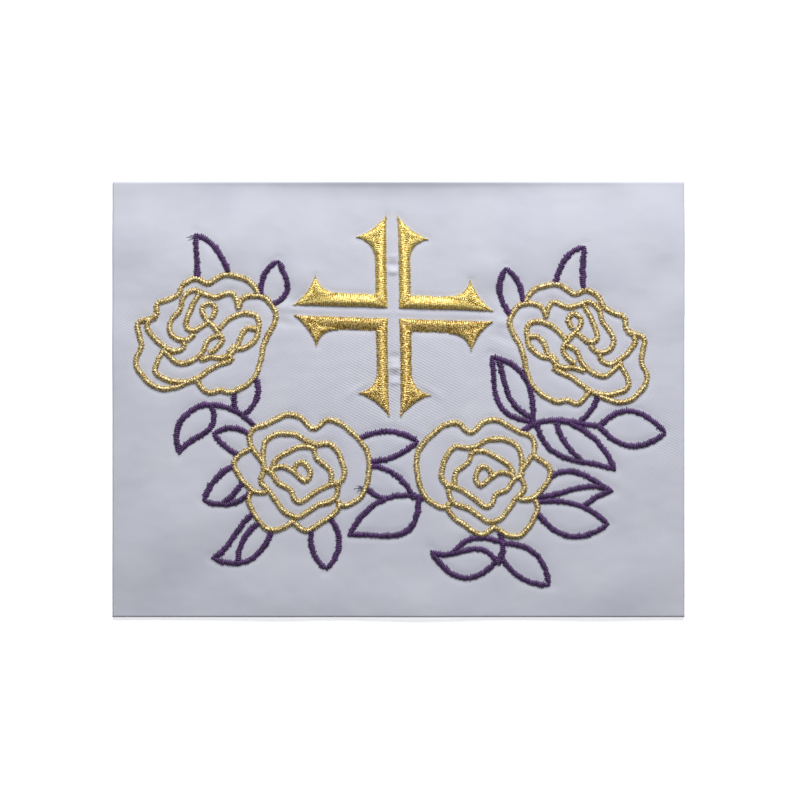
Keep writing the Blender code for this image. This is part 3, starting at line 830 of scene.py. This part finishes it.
def sheet_relief(flat, roses, leaves):
    """How far the stitches press the cloth down at each place of a grid, and its unevenness."""
    places, reach = pressed_places(roses, leaves)
    tree = point_tree(places)
    press, uneven = [], []
    for x, y in flat.reshape(-1, 2):
        _, found, distance = tree.find((x, y, 0.0))
        gap = max(0.0, distance - reach[found])
        press.append(sum(depth * math.exp(-((gap / fade) ** 2)) for depth, fade in PRESSES))
        uneven.append(sum(
            height * noise(Vector((x / across, y / up, layer))) for height, across, up, layer in UNEVEN))
    return np.reshape(press, flat.shape[:2]), np.reshape(uneven, flat.shape[:2])


def grid_lines(length, fine):
    """Grid lines across a length, an even number of cells, closer in the fine stretch."""
    cuts = (-length / 2, fine[0], fine[1], length / 2)
    lines = [np.array([cuts[0]])]
    for low, high, cell in zip(cuts, cuts[1:], (SHEET_CELL, FINE_CELL, SHEET_CELL)):
        count = 2 * math.ceil((high - low) / cell / 2)
        lines.append(np.linspace(low, high, count + 1)[1:])
    return np.concatenate(lines)


def quads_of(index):
    """The faces of a grid."""
    around = (index[:-1, :-1], index[:-1, 1:], index[1:, 1:], index[1:, :-1])
    return np.stack(around, axis=-1).reshape(-1, 4)


def rim_of(index):
    """The border of a grid, once round."""
    return np.concatenate((index[0, :-1], index[:-1, -1], index[-1, :0:-1], index[:0:-1, 0]))


def make_sheet(material, roses, leaves):
    """The cloth: a fine grid in its folds, drawn down beside the stitches, and its underside,
    which has half as many cells each way."""
    x, y = np.meshgrid(grid_lines(CLOTH_ACROSS, FINE_ACROSS), grid_lines(CLOTH_UP, FINE_UP))
    flat = np.stack((x, y), axis=-1)
    press, uneven = sheet_relief(flat, roses, leaves)
    top = cloth_level(flat) + (uneven - press)
    lifted = fold_height(x, y) + np.maximum(0.0, fold_height(x, y, CREASES)) + UNDER_SHARE * uneven
    under = np.minimum(np.maximum(0.0, lifted), top - SHEET_LEAST)
    under[under < REST_BELOW] = 0.0

    index = np.arange(x.size).reshape(x.shape)
    coarse = flat[::2, ::2]
    coarse_index = x.size + np.arange(coarse[..., 0].size).reshape(coarse.shape[:2])
    shape = Shape()
    shape.corners = [raised(flat, top).reshape(-1, 3), raised(coarse, under[::2, ::2]).reshape(-1, 3)]
    shape.faces = quads_of(index).tolist() + quads_of(coarse_index)[:, ::-1].tolist()
    rim, coarse_rim = rim_of(index), rim_of(coarse_index)
    next_rim, next_coarse = np.roll(rim, -2)[::2], np.roll(coarse_rim, -1)
    shape.faces += np.column_stack((next_rim, rim[1::2], rim[::2], coarse_rim, next_coarse)).tolist()
    return shape.make("cloth_sheet", material)


def nodes_of(name):
    """A new material, its node tree and its shader."""
    material = bpy.data.materials.new(name)
    material.use_nodes = True
    tree = material.node_tree
    return material, tree, tree.nodes["Principled BSDF"]


def set_inputs(node, values):
    """Sets a node's inputs, by name or number."""
    for name, value in values.items():
        node.inputs[name].default_value = value


def add_node(tree, kind, inputs=None, **settings):
    """A new node with its settings and its inputs' values."""
    node = tree.nodes.new(kind)
    for name, value in settings.items():
        setattr(node, name, value)
    set_inputs(node, inputs or {})
    return node


def add_noise(tree, where, scale, detail):
    """Noise at the object's own places."""
    node = add_node(tree, "ShaderNodeTexNoise", {"Scale": scale, "Detail": detail})
    tree.links.new(where.outputs["Object"], node.inputs["Vector"])
    return node.outputs["Fac"]


def add_ramp(tree, factor, low, dark, high, light):
    """A colour that goes from dark to light as a factor goes from low to high."""
    ramp = add_node(tree, "ShaderNodeValToRGB")
    first, last = ramp.color_ramp.elements
    first.position = low
    first.color = (*dark, 1)
    last.position = high
    last.color = (*light, 1)
    tree.links.new(factor, ramp.inputs["Fac"])
    return ramp.outputs["Color"]


def add_bump(tree, shader, height, relief):
    """Bump from a height, its relief in millimetres."""
    bump = add_node(tree, "ShaderNodeBump", {"Distance": relief * MM})
    tree.links.new(height, bump.inputs["Height"])
    tree.links.new(bump.outputs["Normal"], shader.inputs["Normal"])
    return bump


def twill_clearness(tree, where):
    """How clearly the ribs stand out: the least, and each patch's strength fading from its middle."""
    relief = None
    for middle_x, middle_y, half_across, half_up, strength in TWILL_PATCHES:
        near = add_node(tree, "ShaderNodeMapping", {
            "Location": (middle_x * MM, middle_y * MM, 0),
            "Scale": (half_across * MM, half_up * MM, 1),
        }, vector_type="TEXTURE")
        tree.links.new(where.outputs["Object"], near.inputs["Vector"])
        patch = add_node(tree, "ShaderNodeTexGradient", gradient_type="QUADRATIC_SPHERE")
        tree.links.new(near.outputs["Vector"], patch.inputs["Vector"])
        total = add_node(tree, "ShaderNodeMath", {1: strength, 2: TWILL_LEAST},
                         operation="MULTIPLY_ADD")
        tree.links.new(patch.outputs["Fac"], total.inputs[0])
        if relief:
            tree.links.new(relief, total.inputs[2])
        relief = total.outputs["Value"]
    return relief


def twill_material():
    """White twill with fine slanting ribs and a soft change of tone."""
    material, tree, shader = nodes_of("white_twill")
    where = add_node(tree, "ShaderNodeTexCoord")
    turn = add_node(tree, "ShaderNodeMapping", {"Rotation": (0, 0, math.radians(TWILL_ANGLE))})
    tree.links.new(where.outputs["Object"], turn.inputs["Vector"])
    # A wave texture of scale 1 repeats 20 times in 2 pi
    rib = add_node(tree, "ShaderNodeTexWave", {
        "Scale": 2 * math.pi / 20 / (TWILL_PITCH * MM),
        "Distortion": 0.6,
        "Detail": 1.0,
        "Detail Scale": 1.5,
    }, wave_type="BANDS", bands_direction="Y", wave_profile="SIN")
    tree.links.new(turn.outputs["Vector"], rib.inputs["Vector"])
    bump = add_bump(tree, shader, rib.outputs["Fac"], TWILL_RELIEF)
    tree.links.new(twill_clearness(tree, where), bump.inputs["Strength"])
    soft = add_noise(tree, where, 60.0, 3.0)
    tint = add_ramp(tree, soft, 0.3, (0.565, 0.575, 0.665), 0.7, (0.605, 0.615, 0.690))
    tree.links.new(tint, shader.inputs["Base Color"])
    set_inputs(shader, {"Roughness": 0.75, "Sheen Weight": 0.15, "Sheen Roughness": 0.5})
    return material


def thread_material(name, dark, light, roughness, metallic, glitter, sheen, own_tone):
    """Twisted thread: its tone and its glints change from spot to spot, and from stitch to stitch."""
    material, tree, shader = nodes_of(name)
    where = add_node(tree, "ShaderNodeTexCoord")
    each = add_node(tree, "ShaderNodeNewGeometry")
    tone = add_node(tree, "ShaderNodeMath", {1: own_tone}, operation="MULTIPLY_ADD")
    tree.links.new(each.outputs["Random Per Island"], tone.inputs[0])
    tree.links.new(add_noise(tree, where, TWIST_SCALE, 1.0), tone.inputs[2])
    colour = add_ramp(tree, tone.outputs["Value"], 0.41, dark, 0.65, light)
    tree.links.new(colour, shader.inputs["Base Color"])
    bump = add_bump(tree, shader, add_noise(tree, where, GLINT_SCALE, 2.0), GLINT_RELIEF)
    set_inputs(bump, {"Strength": glitter})
    set_inputs(shader, {"Roughness": roughness, "Metallic": metallic, "Sheen Weight": sheen})
    return material


def make_floor():
    """A plain pale floor, 0.2 mm below the cloth so that their faces stay apart."""
    bpy.ops.mesh.primitive_plane_add(size=6, location=(0, 0, -0.0002))
    floor = bpy.context.object
    floor.name = "floor"
    material, _, shader = nodes_of("pale_floor")
    set_inputs(shader, {
        "Base Color": (0.9, 0.9, 0.9, 1),
        "Roughness": 0.9,
        "Emission Color": (1, 1, 1, 1),
        "Emission Strength": 0.6,
    })
    floor.data.materials.append(material)


def light_studio():
    """Soft light from all round, brighter from the cloth's top edge, where a window light stands."""
    world = bpy.data.worlds.new("studio")
    bpy.context.scene.world = world
    world.use_nodes = True
    tree = world.node_tree
    where = add_node(tree, "ShaderNodeTexCoord")
    parts = add_node(tree, "ShaderNodeSeparateXYZ")
    spread = add_node(tree, "ShaderNodeMapRange", {"From Min": -1})
    tree.links.new(where.outputs["Generated"], parts.inputs["Vector"])
    tree.links.new(parts.outputs["Y"], spread.inputs["Value"])
    sky = add_ramp(tree, spread.outputs["Result"], 0.2, (0.28, 0.29, 0.32), 0.9, (1.0, 1.0, 1.0))
    back = tree.nodes["Background"]
    tree.links.new(sky, back.inputs["Color"])
    set_inputs(back, {"Strength": 0.36})

    light = bpy.data.lights.new("window", "AREA")
    light.shape = "RECTANGLE"
    light.size = 0.55
    light.size_y = 0.3
    light.energy = 4.0
    window = bpy.data.objects.new("window", light)
    window.location = (0.05, 0.42, 0.40)
    towards = Vector((0, 0.02, 0)) - window.location
    window.rotation_euler = towards.to_track_quat("-Z", "Y").to_euler()
    bpy.context.collection.objects.link(window)


def add_camera():
    """A camera straight above the cloth, whose picture is 266.7 mm across at the surface."""
    height = 0.9
    picture_across = 0.2667
    camera = bpy.data.cameras.new("camera")
    camera.sensor_width = 36
    camera.lens = camera.sensor_width * height / picture_across
    camera.clip_start = 0.01
    obj = bpy.data.objects.new("camera", camera)
    obj.location = (0.0005, -0.00017, height)
    bpy.context.collection.objects.link(obj)
    bpy.context.scene.camera = obj


def dress():
    """Makes the sheet and the satin, each piece in place of its solid."""
    threads = {name: thread_material(name, *finish) for name, *finish in THREADS}
    roses = rose_lines()
    leaves = leaf_lines(roses)

    cloth = make_sheet(twill_material(), roses, leaves)
    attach(cloth, "root")
    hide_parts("cloth")

    pieces = [
        # The cross's lower quarters take the painted-shade copy of the gold, and its upper quarters the
        # painted-light copy
        *make_cross(threads["gold_cross_painted_shade"], threads["gold_cross_painted_lit"]),
        *make_roses(roses, threads["gold_line"]),
        *make_leaves(leaves, threads["purple_satin"]),
    ]
    for piece, node, slot in pieces:
        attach(piece, "root")
        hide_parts(node)


dress()
make_floor()
light_studio()
add_camera()
bpy.context.scene.view_settings.view_transform = "Standard"
